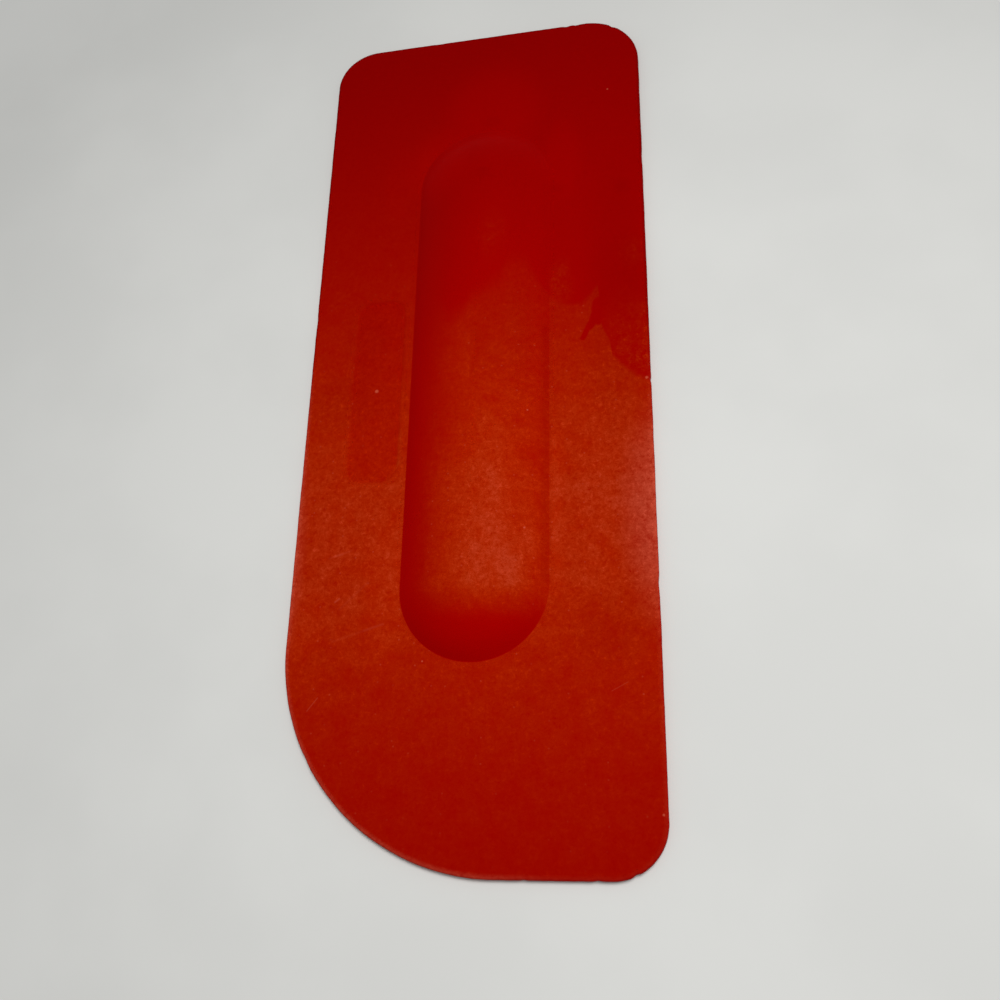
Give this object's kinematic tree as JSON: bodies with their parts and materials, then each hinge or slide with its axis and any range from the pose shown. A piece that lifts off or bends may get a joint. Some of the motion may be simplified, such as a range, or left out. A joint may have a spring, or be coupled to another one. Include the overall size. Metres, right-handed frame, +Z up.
{
  "type": "bowl scraper",
  "caption": "Flexible plastic bowl scraper: a long flat blade with a large rounded corner for bowl walls and a raised, round-ended thumb ridge along its middle.",
  "frame": {"origin": "middle of the blade's length and width, on the surface that its underside rests on", "axes": "+Y along the blade to the end away from the large bowl corner, +Z up out of the ridge, +X to the right, so the large corner is at -X -Y"},
  "size_m": [0.08, 0.21, 0.0075],
  "materials": {
    "red_plastic": "fine matte moulded finish with a soft sheen, lightly worn"
  },
  "bodies": {
    "root": {"scraper_blade": "red_plastic"}
  },
  "joints": []
}
